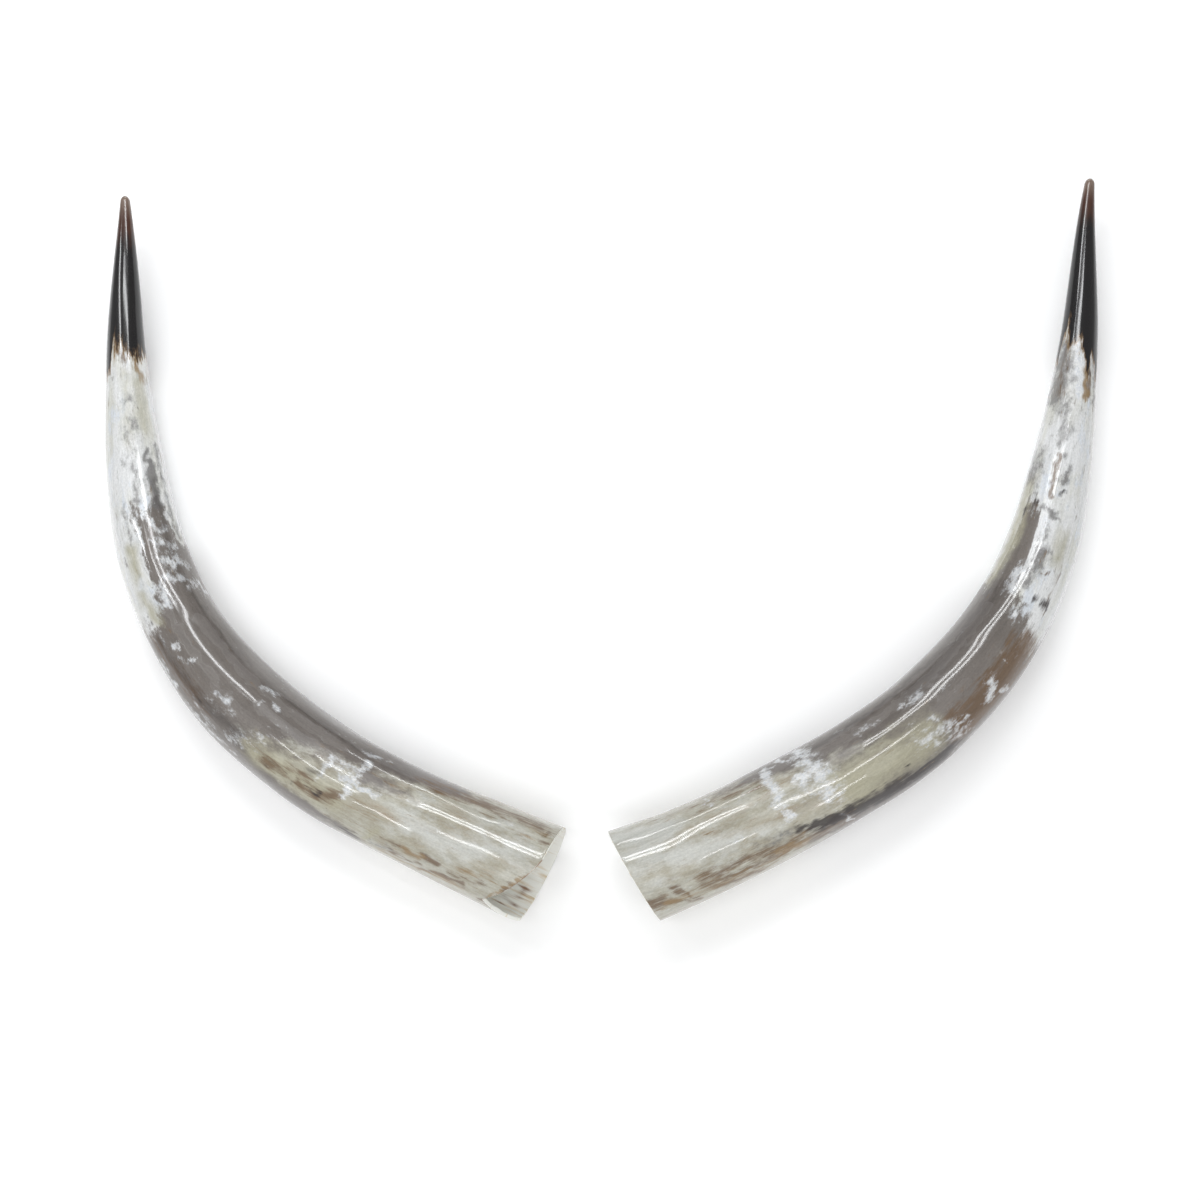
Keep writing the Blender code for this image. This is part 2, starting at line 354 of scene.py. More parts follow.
class Finish:
    """A material being put together. Each call adds nodes and gives back the socket to go on from."""

    def __init__(self, name):
        self.material = bpy.data.materials.new(name)
        self.material.use_nodes = True
        self.tree = self.material.node_tree
        self.shader = self.tree.nodes["Principled BSDF"]

    def node(self, kind, links=(), **values):
        """One node, with its settings, and its inputs joined to sockets or set to plain values."""
        node = self.tree.nodes.new(kind)
        for name, value in values.items():
            setattr(node, name, value)
        for socket, value in links:
            if isinstance(value, bpy.types.NodeSocket):
                self.tree.links.new(value, node.inputs[socket])
            else:
                node.inputs[socket].default_value = value
        return node

    def field(self, name):
        """A number stored on the skin's points."""
        return self.node("ShaderNodeAttribute", attribute_name=name).outputs["Fac"]

    def grain(self, stretch, size, detail, roughness):
        """Noise on the straightened horn, about size metres across and stretch times as long."""
        skin = self.node("ShaderNodeAttribute", attribute_name="straightened").outputs["Vector"]
        squeeze = (1.0, 1.0, 1.0 / stretch)
        scaled = self.node("ShaderNodeMapping", [("Vector", skin), ("Scale", squeeze)]).outputs[0]
        links = [("Vector", scaled), ("Scale", 1.0 / size), ("Detail", detail),
                 ("Roughness", roughness)]
        return self.node("ShaderNodeTexNoise", links).outputs["Fac"]

    def math(self, operation, first, second):
        """Two numbers joined by plain arithmetic."""
        links = [(0, first), (1, second)]
        return self.node("ShaderNodeMath", links, operation=operation).outputs[0]

    def step(self, value, low, high):
        """A smooth step from 0 at low to 1 at high."""
        links = [("Value", value), ("From Min", low), ("From Max", high)]
        return self.node("ShaderNodeMapRange", links, interpolation_type="SMOOTHSTEP").outputs[0]

    def spread(self, value, low, high, value_low=0.0, value_high=1.0):
        """A straight line from low, where the value is value_low, to high at value_high."""
        links = [("Value", value), ("From Min", value_low), ("From Max", value_high),
                 ("To Min", low), ("To Max", high)]
        return self.node("ShaderNodeMapRange", links).outputs[0]

    def over(self, below, above, cover, most=1.0):
        """One colour laid over another, as far as cover times most says."""
        links = [(0, self.math("MULTIPLY", cover, most)), (6, below), (7, above)]
        return self.node("ShaderNodeMix", links, data_type="RGBA").outputs[2]

    def ragged(self, kind, noise, amount, low, high):
        """Where a stored field shows, with its edge broken up: noise less a half, times amount, is
        added to the field before the step."""
        shift = self.math("MULTIPLY", self.math("SUBTRACT", noise, 0.5), amount)
        return self.step(self.math("ADD", self.field(kind), shift), low, high)

    def bump(self, height, distance, strength):
        """Small relief in the shading, with its depth in metres."""
        links = [("Height", height), ("Distance", distance), ("Strength", strength)]
        return self.node("ShaderNodeBump", links).outputs[0]

    def drive(self, **sockets):
        """Join sockets to the shader's inputs, whose names have _ for each space."""
        for name, socket in sockets.items():
            self.tree.links.new(socket, self.shader.inputs[name.replace("_", " ")])


# The skin's colours: the base, the ground, the white, the marks and the tip.
OLIVE_GREY = colour(159, 154, 138)
PALE_OLIVE = colour(177, 175, 163)
BLUE_GREY = colour(191, 192, 187)
DUST_BROWN = colour(151, 136, 115)
TAUPE = colour(113, 107, 102)
DARK_TAUPE = colour(95, 89, 84)
CHALK = colour(213, 214, 214)
BLUE_CHALK = colour(203, 208, 214)
WARM_CHALK = colour(200, 200, 193)
OLIVE_CREAM = colour(163, 159, 137)
SMOKE = colour(108, 106, 105)
BROWN = colour(100, 77, 54)
TAN = colour(140, 117, 84)
UMBER = colour(43, 36, 36)
INK = colour(13, 11, 13)
RUST = colour(66, 38, 26)
END_HORN = colour(146, 130, 118)


# How rough the gloss is where it is polished and where it is worn, and how rough the horn under it
# is, from its lowest fibres to its highest. Where the grain adds up to GRAIN_RANGE's two ends, the
# skin is GRAIN_LIGHT's times as light. A relief is its depth in metres and its strength.
GLOSS_POLISHED = 0.10
GLOSS_WORN = 0.42
HORN_MATT = (0.30, 0.44)
HORN_MIRROR = 0.12
HORN_IOR = 1.50
GRAIN_RANGE = (0.70, 1.30)
GRAIN_LIGHT = (0.84, 1.14)
FIBRE_RELIEF = (0.00005, 0.5)


def polished_skin(name):
    """Keratin under a buffed gloss. Its colours are laid over each other from the ground up: each
    shows where its own stored strength, broken up by noise, passes a step. The last layer gives a
    painted shade and a painted reflection of the room's dark far side on the inner side, and a
    few real dark spots. A fine grain and lengthwise fibres make the whole a little lighter or
    darker."""
    finish = Finish(name)
    # The noises: how many times as long as wide, the size in metres, how many finer levels there
    # are, and how strong each is against the one before.
    fibre = finish.grain(16.0, 0.0024, 4.0, 0.65)
    streak = finish.grain(7.0, 0.0042, 5.0, 0.72)
    grit = finish.grain(1.7, 0.0013, 2.0, 0.6)
    fleck = finish.grain(2.0, 0.0050, 6.0, 0.76)
    cloud = finish.grain(2.4, 0.0150, 6.0, 0.70)
    broad = finish.grain(3.5, 0.0300, 4.0, 0.60)
    mottle = finish.math("MULTIPLY", finish.math("ADD", cloud, fleck), 0.5)

    # The taupe ground, the olive grey base with its brown dust and pale haze, the white, and the
    # chalk of the crackle.
    ground = finish.over(DARK_TAUPE, TAUPE, finish.step(broad, 0.20, 0.62))
    base = finish.over(OLIVE_GREY, PALE_OLIVE, finish.step(cloud, 0.36, 0.62))
    dust = finish.step(finish.math("MULTIPLY", broad, streak), 0.25, 0.46)
    base = finish.over(base, DUST_BROWN, dust, 0.7)
    haze = finish.ragged("haze", cloud, 2.4, 0.25, 1.10)
    haze = finish.math("MAXIMUM", haze, finish.step(cloud, 0.54, 0.78))
    base = finish.over(base, BLUE_GREY, haze, 0.8)
    white = finish.over(WARM_CHALK, CHALK, finish.step(broad, 0.38, 0.56))
    white = finish.over(white, BLUE_CHALK, finish.step(cloud, 0.52, 0.68))
    white = finish.over(white, SMOKE, finish.step(streak, 0.56, 0.74), 0.45)
    crackle = finish.over(BLUE_CHALK, CHALK, finish.step(grit, 0.35, 0.60))

    # The layers from below: the field, its colour, the noise at its edge and how much of it, where
    # the step begins and ends, and how far the layer covers at most.
    layers = [
        ("base", base, cloud, 1.8, 0.20, 0.80, 1.00),
        ("pale", white, mottle, 3.6, 0.28, 0.80, 1.00),
        ("olive", OLIVE_CREAM, cloud, 1.0, 0.15, 0.95, 0.85),
        ("smoke", SMOKE, fleck, 2.2, 0.25, 1.05, 0.85),
        ("brown", BROWN, streak, 2.4, 0.25, 0.95, 0.85),
        ("tan", TAN, streak, 1.8, 0.25, 0.85, 0.85),
        ("chalk", crackle, fleck, 2.6, 0.32, 1.00, 0.90),
        ("umber", UMBER, streak, 2.2, 0.30, 0.95, 0.90),
        ("ink", TAN, streak, 1.9, 0.22, 0.52, 1.00),
        ("ink", BROWN, streak, 1.9, 0.34, 0.56, 1.00),
        ("ink", INK, streak, 1.9, 0.42, 0.66, 1.00),
        ("rust", RUST, streak, 1.2, 0.15, 0.95, 1.00),
        ("end", END_HORN, streak, 0.0, 0.35, 1.30, 1.00),
        # Painted shade and a painted reflection on the inner side, and a few real dark spots.
        ("dark_horn_and_painted_shade", UMBER, streak, 0.8, 0.10, 1.20, 0.50),
    ]
    skin = ground
    for kind, tone, noise, amount, low, high, most in layers:
        skin = finish.over(skin, tone, finish.ragged(kind, noise, amount, low, high), most)

    # The grain lightens and darkens the whole a little.
    light = finish.spread(finish.math("ADD", grit, fibre), *GRAIN_LIGHT, *GRAIN_RANGE)
    shaded = finish.node("ShaderNodeHueSaturation", [("Value", light), ("Color", skin)]).outputs[0]
    worn = finish.ragged("dull", cloud, 0.8, 0.05, 0.80)
    finish.drive(Base_Color=shaded, Roughness=finish.spread(fibre, *HORN_MATT),
                 Coat_Roughness=finish.spread(worn, GLOSS_POLISHED, GLOSS_WORN),
                 Normal=finish.bump(fibre, *FIBRE_RELIEF))
    finish.shader.inputs["IOR"].default_value = HORN_IOR
    finish.shader.inputs["Specular IOR Level"].default_value = HORN_MIRROR
    finish.shader.inputs["Coat Weight"].default_value = 1.0
    # A render takes the joined value. This one stands in for it where the noise is left out.
    finish.shader.inputs["Coat Roughness"].default_value = GLOSS_POLISHED
    return finish.material


# Raw horn, dry and unpolished. Its two roughnesses follow its streaks.
# The cream is painted paler than the horn: painted light that stands for light shining through the
# thin wall into the shaded hollow.
RAW_CREAM_WITH_PAINTED_LIGHT = colour(238, 238, 232)
RAW_TAN = colour(206, 186, 152)
RAW_BROWN = colour(128, 84, 48)
RAW_MATT = (0.50, 0.75)
RAW_IOR = 1.54
RAW_RELIEF = (0.0003, 0.7)


def raw_hollow(name):
    """Unpolished horn on the sawn rim and in the hollow: dry cream, painted paler than the horn as
    painted light shining through the thin wall, with tan streaks that run lengthwise and a few
    brown stains."""
    finish = Finish(name)
    streaks = finish.grain(9.0, 0.006, 4.0, 0.6)
    patches = finish.grain(2.5, 0.016, 4.0, 0.6)
    fine = finish.grain(6.0, 0.0012, 3.0, 0.6)
    skin = finish.over(RAW_CREAM_WITH_PAINTED_LIGHT, RAW_TAN, finish.step(streaks, 0.48, 0.74))
    skin = finish.over(skin, RAW_BROWN, finish.step(patches, 0.64, 0.76), 0.6)
    skin = finish.over(skin, RAW_BROWN, finish.ragged("stain", streaks, 1.2, 0.20, 0.80), 0.9)
    finish.drive(Base_Color=skin, Roughness=finish.spread(streaks, *RAW_MATT),
                 Normal=finish.bump(fine, *RAW_RELIEF))
    finish.shader.inputs["IOR"].default_value = RAW_IOR
    return finish.material


def make_horn(name, horn, skin_finish, hollow_finish, **colours):
    """Put a horn's surface and its stored numbers into a mesh, with its mouth at its place."""
    place, angle, point, first_rim = horn_surface(horn)
    pole_places = [horn.length, HOLLOW_SHARE * horn.length]
    poles = np.stack([horn.point(pole_place, 0.0, 0.0) for pole_place in pole_places])
    mouth = np.array([horn.mouth_x, horn.mouth_y, 0.0])
    points = np.concatenate([point.reshape(-1, 3), poles]) + mouth
    along = np.concatenate([place.ravel(), pole_places])
    turn = np.concatenate([angle.ravel(), [0.0, 0.0]])
    squares, tip_fan, end_fan = horn_faces(len(place), horn.inner_side > 0.0)
    mesh = bpy.data.meshes.new(name)
    mesh.from_pydata(points.tolist(), [], squares.tolist() + tip_fan.tolist() + end_fan.tolist())
    # The horn is raw from the last ring of its skin inwards, and at the hollow's end.
    raw = np.zeros(len(mesh.polygons), np.int32)
    raw[(first_rim - 1) * POINTS_ROUND:len(squares)] = 1
    raw[len(squares) + len(tip_fan):] = 1
    mesh.materials.append(skin_finish)
    mesh.materials.append(hollow_finish)
    mesh.polygons.foreach_set("material_index", raw)
    straight = mesh.attributes.new("straightened", "FLOAT_VECTOR", "POINT")
    straight.data.foreach_set("vector", horn.straightened(along, turn).astype(np.float32).ravel())
    for kind, field in horn_colour_fields(horn, along, turn, **colours).items():
        stored = mesh.attributes.new(kind, "FLOAT", "POINT")
        stored.data.foreach_set("value", field.astype(np.float32))
    mesh.shade_smooth()
    mesh.update()
    piece = bpy.data.objects.new(name, mesh)
    bpy.context.scene.collection.objects.link(piece)
    return piece


# Marks on the left horn: the colour, how wide the mark is in mm, how strong it is, and its line in
# (mm from the mouth, degrees round the horn).
LEFT_MARKS = [
    # Places where the gloss is worn.
    ("dull", 9, 1.0, [(126, 70), (304, 71)]),
    ("dull", 9, 1.0, [(-6, 51), (38, 51)]),
    ("dull", 9, 1.0, [(215, 50), (420, 50)]),
    ("dull", 9, 1.0, [(-6, 90), (28, 90)]),
    ("dull", 9, 1.0, [(100, 90), (172, 90)]),
    ("dull", 9, 1.0, [(290, 93), (350, 94)]),
    ("dull", 9, 1.0, [(-6, 104), (112, 104)]),
    ("dull", 9, 1.0, [(180, 105), (330, 108)]),
    ("dull", 9, 1.0, [(548, 80), (640, 84)]),
    ("dull", 12, 1.0, [(632, 68), (700, 70)]),
    ("dull", 7, 1.0, [(355, 86), (440, 87)]),
    ("dull", 12, 1.0, [(560, 90), (705, 92)]),
    # Pale cloud near the mouth.
    ("haze", 30, 0.9, [(14, 80), (60, 72)]),
    ("haze", 34, 1.0, [(60, 100), (125, 92)]),
    ("haze", 16, 0.8, [(20, 55), (45, 52)]),
    # Warm band along the inner side.
    ("brown", 20, 0.75, [(12, 30), (60, 33), (125, 35)]),
    # Darker band on the inner side: a thin painted reflection of the room's dark far side,
    #     and a wide painted shade where less light falls.
    ("dark_horn_and_painted_shade", 10, 0.8, [(150, 39), (300, 37), (450, 38), (580, 41)]),
    ("dark_horn_and_painted_shade", 30, 0.6, [(320, 45), (470, 45)]),
    # Stains in the hollow.
    ("stain", 5, 1.0, [(9, 241), (15, 237)]),
    ("stain", 4, 1.0, [(3, 217), (12, 214), (21, 210)]),
    ("stain", 4, 0.8, [(22, 208), (31, 205)]),
    ("stain", 9, 0.5, [(12, 232), (30, 214)]),
    # Dark edge of the bite in the rim, and the tan skin beside it.
    ("stain", 5, 1.0, [(-4, 75), (1, 91), (7, 104), (16, 119), (25, 136), (31, 150)]),
    ("tan", 4, 0.8, [(1, 91), (9, 105), (18, 120), (27, 136), (33, 150)]),
    # Stains along the rim.
    ("brown", 4, 0.9, [(-2, 53), (3, 53)]),
    ("brown", 4, 0.8, [(2, 36), (5, 45)]),
    ("tan", 12, 0.45, [(5, 40), (22, 56)]),
    ("brown", 9, 0.9, [(12, 112), (16, 122)]),
    ("brown", 9, 1.0, [(28, 146), (37, 154)]),
    # Where the warm band turns grey.
    ("dusk", 24, 1.0, [(110, 26), (180, 30), (240, 40)]),
    # Wedge of darker horn on the top.
    ("dusk", 8, 0.8, [(130, 64), (150, 66)]),
    ("dusk", 18, 0.9, [(152, 69), (176, 69)]),
    # Single pale flecks.
    ("chalk", 5, 0.7, [(35, 48)]),
    ("chalk", 5, 0.7, [(110, 54)]),
    ("chalk", 5, 0.7, [(132, 73)]),
    ("chalk", 5, 0.7, [(167, 32)]),
    # Crackle across the top.
    ("chalk", 9, 1.0, [(184, 48), (186, 75), (187, 102)]),
    ("chalk", 6, 1.0, [(160, 82), (200, 85)]),
    ("chalk", 16, 0.66, [(190, 69), (205, 69)]),
    ("chalk", 6, 0.9, [(216, 68), (216, 100)]),
    ("chalk", 6, 0.8, [(178, 36), (195, 40)]),
    ("chalk", 6, 0.9, [(288, 59), (292, 59)]),
    # The two dark spots beyond the crackle.
    ("dark_horn_and_painted_shade", 8, 1.0, [(219, 94), (228, 97)]),
    ("umber", 5, 0.9, [(208, 115), (224, 118)]),
    # Brown and olive horn round the spots, with smaller dark spots.
    ("brown", 11, 1.0, [(193, 104), (203, 114), (212, 118), (232, 120)]),
    ("brown", 14, 0.75, [(222, 106), (245, 112), (268, 122)]),
    ("olive", 28, 0.9, [(195, 112), (280, 118)]),
    ("umber", 4, 0.8, [(243, 115)]),
    ("umber", 4, 0.8, [(236, 128)]),
    ("umber", 4, 0.8, [(198, 130)]),
    ("umber", 4, 0.7, [(265, 122)]),
    # Stains on the lower side.
    ("brown", 7, 1.0, [(86, 128), (100, 128)]),
    ("tan", 8, 0.9, [(103, 132), (118, 132)]),
    ("brown", 6, 0.7, [(120, 128), (140, 128)]),
    ("brown", 7, 1.0, [(56, 140), (80, 144), (98, 152)]),
    ("brown", 6, 0.8, [(100, 143), (128, 144)]),
    ("brown", 8, 0.7, [(38, 128), (70, 134)]),
    ("tan", 9, 0.6, [(30, 112), (62, 122)]),
    ("tan", 12, 0.6, [(60, 150), (140, 156)]),
    ("smoke", 10, 0.7, [(128, 142), (150, 146)]),
    ("umber", 16, 0.7, [(166, 152), (184, 152)]),
    ("olive", 8, 0.8, [(147, 122), (158, 148)]),
    # Dark tongue into the white.
    ("dusk", 14, 1.0, [(430, 42), (530, 44)]),
    ("dusk", 9, 1.0, [(530, 42), (560, 42)]),
    ("smoke", 10, 1.4, [(556, 42), (596, 42)]),
    ("dusk", 4, 0.8, [(480, 86), (530, 87)]),
    ("dusk", 9, 0.9, [(538, 83), (560, 87)]),
    # Mottling before the white.
    ("chalk", 18, 0.60, [(285, 104), (300, 118), (306, 132)]),
    ("chalk", 14, 0.50, [(318, 100), (345, 108)]),
    ("chalk", 14, 0.48, [(328, 134), (352, 134)]),
    ("chalk", 6, 0.8, [(300, 44), (315, 48)]),
    ("chalk", 5, 0.8, [(305, 68)]),
    ("chalk", 8, 0.75, [(330, 92), (345, 98)]),
    ("chalk", 5, 0.9, [(385, 95)]),
    ("chalk", 5, 0.9, [(395, 105)]),
    ("chalk", 6, 0.9, [(405, 98), (406, 105)]),
    # Brown and dark horn on the outer side, before the white.
    ("umber", 8, 0.8, [(352, 122)]),
    ("brown", 24, 0.62, [(350, 124), (425, 124)]),
    ("dark_horn_and_painted_shade", 14, 1.0, [(305, 114), (345, 118), (362, 121), (424, 122)]),
    # Flecks and spots at the edge of the white, and an olive tint in it.
    ("chalk", 9, 0.70, [(300, 150), (360, 150)]),
    ("chalk", 10, 0.85, [(383, 148), (407, 146)]),
    ("umber", 4, 0.9, [(441, 123)]),
    ("umber", 4, 0.9, [(447, 123)]),
    ("olive", 14, 0.8, [(440, 112), (470, 115)]),
    ("olive", 16, 0.8, [(490, 108), (515, 108)]),
    # White islands in the dark tongue.
    ("chalk", 16, 0.75, [(448, 10), (462, 25)]),
    ("chalk", 12, 0.75, [(482, 25), (498, 55)]),
    ("chalk", 11, 1.0, [(468, 50), (476, 66)]),
    ("chalk", 10, 0.9, [(484, 50), (495, 60)]),
    ("chalk", 11, 0.8, [(507, 36), (518, 70)]),
    ("chalk", 12, 0.85, [(527, 50), (543, 72)]),
    ("chalk", 7, 0.8, [(455, 45)]),
    ("chalk", 12, 0.9, [(447, 80), (468, 82)]),
    # Grey and olive in the white.
    ("smoke", 10, 0.8, [(520, 15), (620, 20)]),
    ("smoke", 6, 1.2, [(592, 42), (616, 46)]),
    ("olive", 20, 0.6, [(640, 40), (692, 42)]),
    ("olive", 14, 0.5, [(640, 72), (700, 75)]),
    ("smoke", 8, 0.6, [(520, 100), (560, 104)]),
    ("smoke", 12, 0.6, [(560, 52), (600, 72), (640, 78)]),
    ("smoke", 8, 0.9, [(562, 74), (604, 74)]),
    ("smoke", 10, 0.8, [(642, 65), (650, 66)]),
    ("smoke", 10, 0.8, [(670, 62), (672, 78)]),
    ("smoke", 7, 0.7, [(603, 94), (608, 94)]),
    # Stains where the white ends.
    ("tan", 8, 0.9, [(690, 25), (705, 45)]),
    ("tan", 7, 0.9, [(712, 50)]),
    ("brown", 9, 0.9, [(714, 82), (728, 98)]),
    ("tan", 8, 0.5, [(706, 104), (732, 112)]),
    ("brown", 6, 1.0, [(700, 120), (704, 134)]),
]

# The zones of colour, as (degrees round the horn, mm from the mouth): where the olive grey base
# ends, and where the white and the black start. The black turns to rust all round at one distance.
LEFT_BASE_END = [(0, 90), (37, 95), (55, 165), (74, 220), (94, 265), (114, 270),
                 (130, 260), (145, 180), (270, 170)]
LEFT_PALE_START = [(0, 520), (20, 505), (33, 540), (45, 560), (60, 556), (79, 555), (84, 500),
                   (90, 470), (118, 427), (135, 436), (185, 447), (270, 480), (340, 520)]
LEFT_INK_START = [(0, 718), (60, 720), (80, 727), (100, 730), (112, 738), (120, 705), (135, 703),
                  (270, 712)]
LEFT_RUST_START = 840.0

left_shape = Horn(length=LEFT_LENGTH, headings=LEFT_HEADINGS, half_widths=LEFT_HALF_WIDTHS,
                  tip_lift=LEFT_TIP_LIFT, inner_side=LEFT_INNER_SIDE, skew=LEFT_SAW_SKEW,
                  forward=LEFT_SAW_FORWARD, chip=LEFT_CHIP, mouth=LEFT_MOUTH, seed=LEFT_SEED)
left_piece = make_horn("polished_left_horn", left_shape, polished_skin("left_horn_polish"),
                       raw_hollow("left_horn_raw"), marks=LEFT_MARKS, base_end=LEFT_BASE_END,
                       pale_start=LEFT_PALE_START, ink_start=LEFT_INK_START,
                       rust_start=LEFT_RUST_START)
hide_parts("left_horn")
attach(left_piece, "root")


# The right horn. The real piece is the other horn of the pair, a little shorter and slimmer. It was
# made the same way, but its saw cut slants more and its rim is whole.
RIGHT_LENGTH = 0.866
RIGHT_MOUTH = (0.0491, -0.3189)
RIGHT_HEADINGS = (20.0, 26.5, 31.0, 43.5, 59.0, 74.5, 80.0, 85.5, 82.5)
RIGHT_HALF_WIDTHS = (0.0465, 0.0440, 0.0425, 0.0415, 0.0365, 0.0310, 0.0225, 0.0140, 0.0045)
RIGHT_TIP_LIFT = 0.045
RIGHT_SAW_SKEW = 11.0
RIGHT_SAW_FORWARD = 0.0
NO_CHIP = (0.0, 90.0, 180.0, 0.0)
RIGHT_INNER_SIDE = 1.0
RIGHT_SEED = 23

# Marks on the right horn, given in the same way as the left horn's.
RIGHT_MARKS = [
    # Places where the gloss is worn.
    ("dull", 9, 1.0, [(126, 70), (236, 71)]),
    ("dull", 9, 1.0, [(150, 52), (420, 50)]),
    ("dull", 9, 1.0, [(-6, 89), (134, 90)]),
    ("dull", 9, 1.0, [(308, 94), (350, 94)]),
    ("dull", 9, 1.0, [(-6, 103), (56, 103)]),
    ("dull", 9, 1.0, [(122, 104), (170, 105)]),
    ("dull", 9, 1.0, [(232, 106), (330, 106)]),
    ("dull", 6, 0.6, [(470, 72), (590, 72)]),
    ("dull", 12, 1.0, [(600, 70), (690, 68)]),
    # Pale cloud near the mouth.
    ("haze", 40, 1.0, [(0, 70), (40, 84), (85, 92)]),
    ("haze", 34, 1.3, [(0, 36), (40, 54)]),
    ("haze", 20, 0.8, [(110, 110), (135, 104)]),
    # Warm band along the inner side, with a pale fleck.
    ("brown", 22, 0.55, [(80, 38), (120, 42), (142, 50)]),
    ("brown", 16, 0.40, [(40, 25), (140, 28)]),
    ("chalk", 5, 0.7, [(88, 26), (92, 44)]),
    # Two white bands across, with flecks between and beyond them.
    ("chalk", 13, 0.95, [(150, 32), (149, 60), (148, 80), (150, 104)]),
    ("chalk", 22, 0.85, [(184, 24), (188, 45), (188, 65), (190, 85), (193, 108)]),
    ("chalk", 26, 0.50, [(150, 84), (190, 84)]),
    ("chalk", 15, 1.0, [(174, 72), (196, 66)]),
    ("dusk", 14, 0.7, [(160, 35), (172, 50)]),
    ("chalk", 6, 1.0, [(165, 20), (168, 34)]),
    ("chalk", 9, 0.8, [(167, 72), (173, 77)]),
    ("chalk", 8, 0.64, [(238, 52), (258, 57)]),
    ("chalk", 8, 0.66, [(290, 60), (300, 63)]),
    # Olive cream patch below the top, and the mottling at its end.
    ("olive", 40, 1.0, [(212, 108), (285, 112)]),
    ("olive", 20, 0.9, [(210, 126), (240, 126)]),
    ("chalk", 22, 0.66, [(285, 110), (305, 120), (315, 136)]),
    # Long dark streak on the lower side, with a pale break and two spots.
    ("umber", 8, 1.0, [(152, 122), (165, 127)]),
    ("umber", 13, 1.3, [(166, 130), (188, 137)]),
    ("chalk", 4, 0.9, [(191, 134), (200, 160)]),
    ("umber", 15, 1.3, [(200, 139), (220, 143)]),
    ("umber", 17, 1.2, [(226, 145), (262, 150), (300, 152)]),
    ("umber", 6, 0.8, [(262, 127)]),
    ("umber", 6, 0.8, [(275, 131)]),
    # Stains near the mouth.
    ("brown", 12, 1.0, [(0, 130), (22, 134)]),
    ("tan", 8, 1.0, [(22, 134), (30, 140)]),
    ("brown", 6, 0.9, [(22, 134), (34, 146), (48, 156)]),
    ("brown", 5, 0.9, [(26, 114), (36, 128), (46, 150)]),
    ("tan", 26, 0.5, [(30, 138), (80, 146), (120, 150)]),
    # Fibres along the lower side.
    ("brown", 13, 0.8, [(58, 126), (115, 128)]),
    ("brown", 11, 0.9, [(58, 138), (112, 142), (140, 144)]),
    ("brown", 9, 0.9, [(66, 150), (110, 158)]),
    ("brown", 11, 0.8, [(112, 132), (150, 138)]),
    ("tan", 12, 0.9, [(130, 140), (150, 144)]),
    ("brown", 18, 0.8, [(150, 142), (196, 152)]),
    ("smoke", 12, 0.7, [(115, 122), (147, 124)]),
    # Darker band on the inner side: a thin painted reflection of the room's dark far side,
    #     and a wide painted shade where less light falls.
    ("dark_horn_and_painted_shade", 7, 1.0, [(200, 36), (330, 36), (375, 41), (440, 37)]),
    ("dark_horn_and_painted_shade", 30, 0.9, [(310, 50), (440, 50)]),
    # Flecks before the white.
    ("chalk", 10, 0.85, [(302, 60), (310, 63)]),
    ("chalk", 6, 0.9, [(303, 95)]),
    ("chalk", 13, 0.66, [(303, 108), (306, 138)]),
    ("chalk", 7, 1.0, [(423, 91), (426, 94)]),
    # Brown patch on the outer side, with pale flecks.
    ("brown", 30, 1.3, [(322, 132), (404, 132)]),
    ("chalk", 10, 1.0, [(353, 132), (362, 125), (364, 118)]),
    ("chalk", 4, 0.9, [(385, 118)]),
    ("chalk", 6, 0.75, [(318, 127), (330, 129)]),
    ("chalk", 7, 0.8, [(366, 142), (371, 150)]),
    # Dark spots and small patches where the white starts.
    ("umber", 4, 0.9, [(415, 130)]),
    ("umber", 9, 0.9, [(445, 121), (449, 132)]),
    ("umber", 8, 0.75, [(446, 107), (450, 117)]),
    ("chalk", 12, 1.0, [(446, 66), (466, 66)]),
    ("umber", 8, 0.75, [(527, 33), (533, 43)]),
    ("umber", 7, 0.8, [(540, 50), (548, 42)]),
    ("smoke", 26, 0.9, [(565, 25), (582, 30)]),
    ("olive", 16, 0.9, [(448, 22), (500, 30), (560, 25)]),
    # Grey in the white, with a few brown and olive lines.
    ("smoke", 12, 0.8, [(600, 72), (690, 72)]),
    ("smoke", 10, 0.9, [(456, 86), (464, 84)]),
    ("smoke", 16, 1.0, [(472, 86), (490, 92)]),
    ("smoke", 8, 0.8, [(505, 81), (512, 83)]),
    ("smoke", 7, 1.0, [(534, 70), (530, 85), (523, 100)]),
    ("brown", 6, 0.9, [(546, 75), (560, 72), (588, 73)]),
    ("smoke", 6, 0.9, [(559, 78), (561, 90)]),
    ("umber", 5, 0.9, [(548, 91), (553, 95)]),
    ("smoke", 8, 1.0, [(562, 94), (578, 98)]),
    ("smoke", 7, 0.7, [(585, 80), (586, 88)]),
    ("olive", 18, 0.7, [(490, 116), (510, 118)]),
    ("brown", 4, 0.7, [(470, 98), (476, 115)]),
    ("brown", 5, 0.6, [(440, 126), (480, 131)]),
    ("smoke", 12, 0.9, [(604, 77), (616, 83)]),
    ("smoke", 13, 0.8, [(630, 62), (640, 70)]),
    ("smoke", 6, 0.6, [(632, 108)]),
    ("smoke", 20, 1.1, [(645, 36), (700, 42)]),
    ("smoke", 12, 1.0, [(655, 54), (690, 56)]),
    ("brown", 12, 0.5, [(650, 44), (700, 48)]),
    ("smoke", 12, 0.7, [(645, 15), (680, 20)]),
    # Stains where the white ends.
    ("tan", 5, 1.0, [(645, 115), (668, 110), (692, 102)]),
    ("brown", 6, 1.0, [(650, 119), (690, 115)]),
    ("umber", 5, 1.1, [(672, 114), (694, 110)]),
    ("tan", 6, 0.5, [(702, 43), (712, 47)]),
    # A cream-white streak: partly the horn's own cream, partly a painted highlight.
    ("chalk", 6, 1.1, [(650, 93), (680, 90), (706, 83)]),
    ("brown", 6, 0.9, [(700, 93), (708, 90)]),
    ("smoke", 10, 0.8, [(645, 145), (690, 140)]),
]

